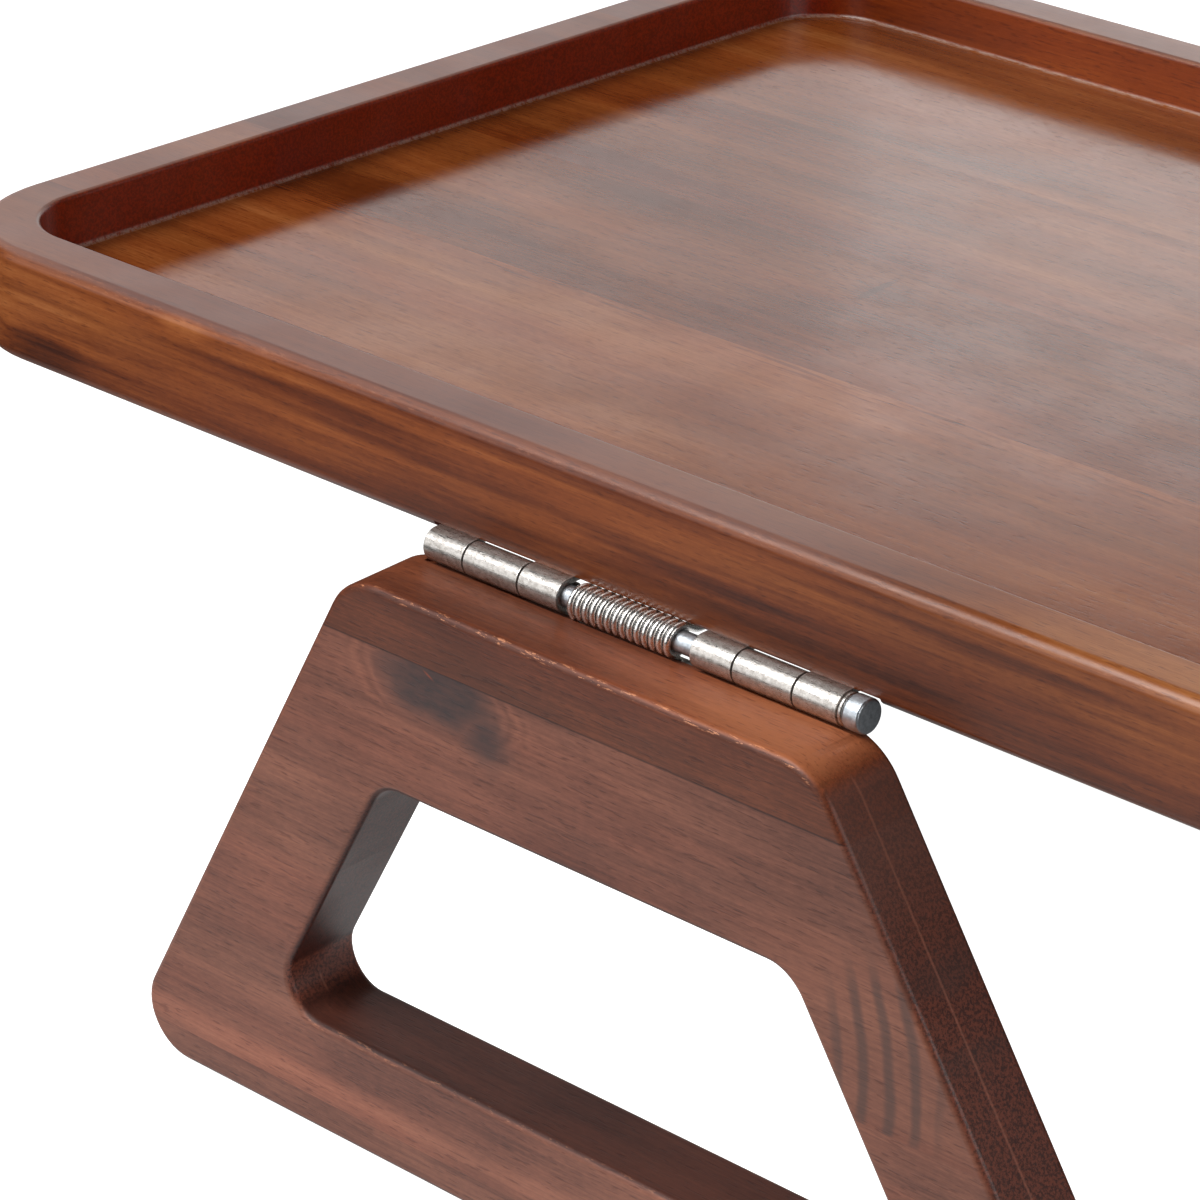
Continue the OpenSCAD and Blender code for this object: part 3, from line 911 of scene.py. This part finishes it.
def wing_wood(side, number):
    """A wing strip's wood, all satin. The front wing's strips carry their own figure."""
    strip = WING_STRIPS[number]
    first_seed = 18 if side == "rear" else 11
    w = Wood(f"{side}_wing_{strip}_wood", first_seed + number)
    w.tone = STRIP_TONES[number]
    w.rings(40.0, -30.0 - 40.0 * number, 0.02, 0.015 * (number - 1), 3.0, 0.3)
    w.lighten(w.grain(0.008, 0.22, 4.0), 0.4)
    w.lighten(w.grain(0.02, 0.035, 2.0), 0.6)
    first_joint = -(WING_DROP + WING_JOINTS[1]) / MM
    w.lighten(w.band(w.z, first_joint, 0.28), -0.32)
    if strip == "top":
        w.lay_colour(1.0, (1.0, 0.76, 0.5), "MULTIPLY")
        # Painted light: the top face is lighter towards the right, where it shows a sheen, and stays darker
        # on the left as painted shade from the barrel.
        top_face = w.stretch(w.normal[2], 0.5, 0.9)
        w.lighten(w.product(top_face, w.stretch(w.x, -10.0, 40.0)), 0.5)
        w.lighten(w.stretch(w.normal[1], -0.6, -0.9), -0.14)
    if side == "front" and strip == "upper":
        knot_figure(w)
        ring_figure(w)
    if strip == "lower":
        w.lighten(w.band(w.z, -100.4, 3.4), 0.16)
    # Painted shade: faces that look down, and the cut-out's floor, are darkened as if the wing's own wood
    # keeps the light off them.
    painted_cutout_shade = w.math("MAXIMUM", w.stretch(w.normal[2], -0.2, -0.45), cutout_floor(w))
    w.lay_colour(painted_cutout_shade, (0.36, 0.28, 0.27), "MULTIPLY")
    rough = w.math("MULTIPLY_ADD", cutout_floor(w), 0.12, 0.42)
    right_side = w.product(w.stretch(w.normal[0], 0.6, 0.8), w.stretch(w.normal[2], 0.2, 0.4))
    # Painted sheen: the right side face is lightened to a grey-brown towards its top corner.
    rub_marks_and_painted_sheen = w.product(w.stretch(w.z, -34.0, -12.0), right_side)
    w.lay_colour(w.product(rub_marks_and_painted_sheen, 0.35), (0.28, 0.15, 0.12))
    scribe = w.product(w.band(w.y, -7.7, 0.4), right_side)
    w.lay_colour(w.product(scribe, 0.35), srgb(190, 120, 96))
    wear = 0.85 if strip == "top" else 0.25
    return w.finish(WING_RAMP, WING_ENDS, rough, relief=0.45, wear=wear, ior=1.42)


def cutout_floor(w):
    """1 on the level face at the foot of the cut-out."""
    return w.product(w.stretch(w.normal[2], 0.6, 0.8), w.stretch(w.z, -60.0, -62.0))


def knot_figure(w):
    """A soft dark knot under the first joint, cut off by it, with faint rings round its ends."""
    swirl = w.product(w.grain(0.10, 0.14, 3.0), 0.55)
    reach = w.math("ADD", w.reach((-29.5, -8.0, -16.2), (17.0, 60.0, 7.8)), swirl)
    tail_reach = w.math("ADD", w.reach((-19.0, -8.0, -20.5), (8.0, 60.0, 7.0)), swirl)
    dark = w.math("MAXIMUM", w.stretch(reach, 1.1, 0.4), w.stretch(tail_reach, 1.1, 0.1))
    threads = w.stretch(w.grain(0.25, 0.9, 3.0, 0.7), -0.2, 0.25, 0.75, 1.0)
    w.lay_colour(w.product(dark, threads, 0.97), (0.030, 0.022, 0.024))
    waves = w.math("SINE", w.product(reach, 30.0))
    ends = w.stretch(w.math("ABSOLUTE", w.math("ADD", w.x, 29.5)), 8.0, 15.0)
    w.lighten(w.product(w.band(reach, 0.95, 0.45), ends, waves), 0.08)
    slant = w.math("MULTIPLY_ADD", w.x, 0.5, w.z)
    crack = w.product(w.band(w.x, -31.0, 1.6), w.band(slant, -29.3, 0.35))
    w.lay_colour(w.product(crack, 0.7), srgb(150, 70, 40))


def ring_figure(w):
    """Steep soft growth-ring bands on the right rail, ending at the second joint."""
    period = 5.2
    depth = w.math("ADD", w.z, 43.0)
    bow = w.product(depth, depth, 0.010)
    across = w.math("ADD", w.math("MULTIPLY_ADD", depth, 0.10, w.x), bow)
    across = w.math("ADD", across, w.product(w.grain(0.05, 0.06, 2.0), 3.0))
    waves = w.stretch(w.math("SINE", w.product(across, 2 * math.pi / period)), -0.3, 1.0)
    window = w.product(w.band(w.x, 63.0, 16.0), w.band(w.z, -46.0, 22.0))
    w.lay_colour(w.product(waves, w.stretch(window, 0.0, 0.5), 0.62), (0.055, 0.034, 0.030))


def wood_set():
    """One wood material for each stave of the tray and each strip of the wings."""
    materials = {f"tray_stave_{n}": tray_wood(n) for n in range(1, 7)}
    for side in ("front", "rear"):
        for number, strip in enumerate(WING_STRIPS):
            materials[f"{side}_wing_{strip}_strip"] = wing_wood(side, number)
    return materials


# ---------- metal ----------

SCRATCH_DEPTH = 0.04 * MM


def metal(name, colour, dark, roughness, grime):
    """Plated metal with a mottled surface, fine scratches along X and spots of grime."""
    n = Nodes(name)
    here = n.vector("SCALE", n.coords.outputs["Object"], scale=1 / MM)
    mottle = n.noise(here, 1.3, detail=4.0, roughness=0.65)
    rub_marks_and_painted_sheen = n.noise(n.vector("MULTIPLY", here, (0.6, 6.0, 6.0)), 1.0, detail=3.0)
    spots = n.stretch(n.noise(here, 0.6, detail=5.0, roughness=0.7), 0.52, 0.72)
    plate = n.mix(n.stretch(mottle, 0.35, 0.7), colour, dark)
    grimy = n.mix(1.0, plate, (0.4, 0.36, 0.32), "MULTIPLY")
    plate = n.mix(n.product(spots, grime), plate, grimy)
    rough = n.stretch(rub_marks_and_painted_sheen, 0.3, 0.7, roughness - 0.06, roughness + 0.12)
    height = n.math("ADD", mottle, n.product(rub_marks_and_painted_sheen, 0.4))
    n.set(Base_Color=plate, Metallic=1.0, Roughness=rough, Normal=n.bump(height, SCRATCH_DEPTH, 0.5))
    return n.material


def metal_set():
    """The hinges' metals. Each has a colour, a darker colour, a roughness and a share of grime."""
    return {
        "nickel": metal("worn_nickel", (0.62, 0.59, 0.56), (0.42, 0.39, 0.36), 0.3, grime=0.5),
        "wire": metal("spring_wire", (1.0, 0.98, 0.95), (0.93, 0.90, 0.86), 0.24, grime=0.05),
        "zinc": metal("dull_zinc", (0.6, 0.64, 0.68), (0.42, 0.46, 0.5), 0.38, grime=0.35),
        "screw": metal("screw_zinc", (0.62, 0.63, 0.64), (0.45, 0.46, 0.47), 0.3, grime=0.3),
    }


# ---------- stage, lights and camera ----------

def make_stage():
    """A white table under the wings' feet, and the light that it throws back at the object."""
    table = flat_square("table", half=6.0, height=0.0)
    n = Nodes("white_table")
    n.set(Base_Color=(0.5, 0.5, 0.5), Roughness=0.9)
    n.set(Emission_Color=(1.0, 1.0, 1.0), Emission_Strength=0.95)
    table.data.materials.append(n.material)
    table.visible_diffuse = False
    table.visible_glossy = False
    glow = flat_square("table_glow", half=1.0, height=0.2 * MM)
    n = Nodes("table_glow")
    reach = n.vector("LENGTH", n.vector("SUBTRACT", n.coords.outputs["Object"], (-0.06, -0.2, 0.0)))
    n.set(Base_Color=(0.0, 0.0, 0.0), Specular_IOR_Level=0.0, Emission_Color=(1.0, 1.0, 1.0))
    n.set(Emission_Strength=n.stretch(reach, 0.08, 0.32, 0.85, 0.06))
    glow.data.materials.append(n.material)
    glow.visible_camera = False
    glow.visible_shadow = False


def flat_square(name, half, height):
    mesh = bpy.data.meshes.new(name)
    corners = [(-half, -half, height), (half, -half, height), (half, half, height), (-half, half, height)]
    mesh.from_pydata(corners, [], [(0, 1, 2, 3)])
    obj = bpy.data.objects.new(name, mesh)
    bpy.context.scene.collection.objects.link(obj)
    return obj


def area_light(name, azimuth, elevation, distance, size, radiance):
    """A white rectangle of light aimed at the tray. Its size is (width, height)."""
    data = bpy.data.lights.new(name, "AREA")
    data.shape = "RECTANGLE"
    data.size, data.size_y = size
    data.energy = math.pi * size[0] * size[1] * radiance
    light = bpy.data.objects.new(name, data)
    target = Vector((0, 0, TRAY_HIGH.z))
    light.location = target + distance * direction(azimuth, elevation)
    light.rotation_euler = (target - light.location).to_track_quat("-Z", "Y").to_euler()
    bpy.context.scene.collection.objects.link(light)


def direction(azimuth, elevation):
    """Unit vector from the object, azimuth measured from the front (-Y) towards +X."""
    a = math.radians(azimuth)
    e = math.radians(elevation)
    return Vector((math.sin(a) * math.cos(e), -math.cos(a) * math.cos(e), math.sin(e)))


def make_lights():
    """Two backdrops that the recess floor reflects, a key light and two fills in a dim white room."""
    world = bpy.data.worlds.new("soft_room")
    world.use_nodes = True
    back = world.node_tree.nodes["Background"]
    back.inputs["Color"].default_value = (1, 1, 1, 1)
    back.inputs["Strength"].default_value = 0.05
    bpy.context.scene.world = world
    area_light("backdrop", 222, 13.5, 2.0, (4.0, 0.74), 1.1)
    area_light("backdrop_centre", 193, 15.0, 1.95, (2.08, 0.85), 0.6)
    area_light("key_softbox", -28, 46, 1.6, (1.0, 1.0), 7.5)
    area_light("front_fill", -25, 8, 1.8, (1.8, 0.8), 1.6)
    area_light("right_fill", 95, 8, 2.0, (1.2, 1.2), 4.0)


def make_camera():
    """The camera, by its angles from the front, its distance and the point it looks at."""
    azimuth = 44.39
    elevation = 24.24
    distance = 0.7236
    target = Vector((0.0239, -0.1479, TRAY_HIGH.z))
    data = bpy.data.cameras.new("camera")
    data.sensor_width = 36
    data.lens = 151.97
    data.clip_start = 0.01
    camera = bpy.data.objects.new("camera", data)
    camera.location = target + distance * direction(azimuth, elevation)
    camera.rotation_euler = (target - camera.location).to_track_quat("-Z", "Y").to_euler()
    bpy.context.scene.collection.objects.link(camera)
    bpy.context.scene.camera = camera


# ---------- the whole scene ----------

make_camera()
make_stage()
make_lights()
wood_materials = wood_set()
metals = metal_set()
make_tray(wood_materials)
for is_rear in (False, True):
    make_wing(is_rear, wood_materials)
    make_leaf(is_rear, False, metals["nickel"])
    make_leaf(is_rear, True, metals["nickel"])
    make_pin(is_rear, metals["zinc"])
    make_washer(is_rear, metals["nickel"])
    make_spring(is_rear, metals["wire"])
    for leaf_side in ("tray", "wing"):
        screws = frame["nodes"][f"{side_name(is_rear)}_{leaf_side}_leaf_screws"]
        screws.data.materials.clear()
        screws.data.materials.append(metals["screw"])

settings = bpy.context.scene.view_settings
settings.view_transform = "Standard"
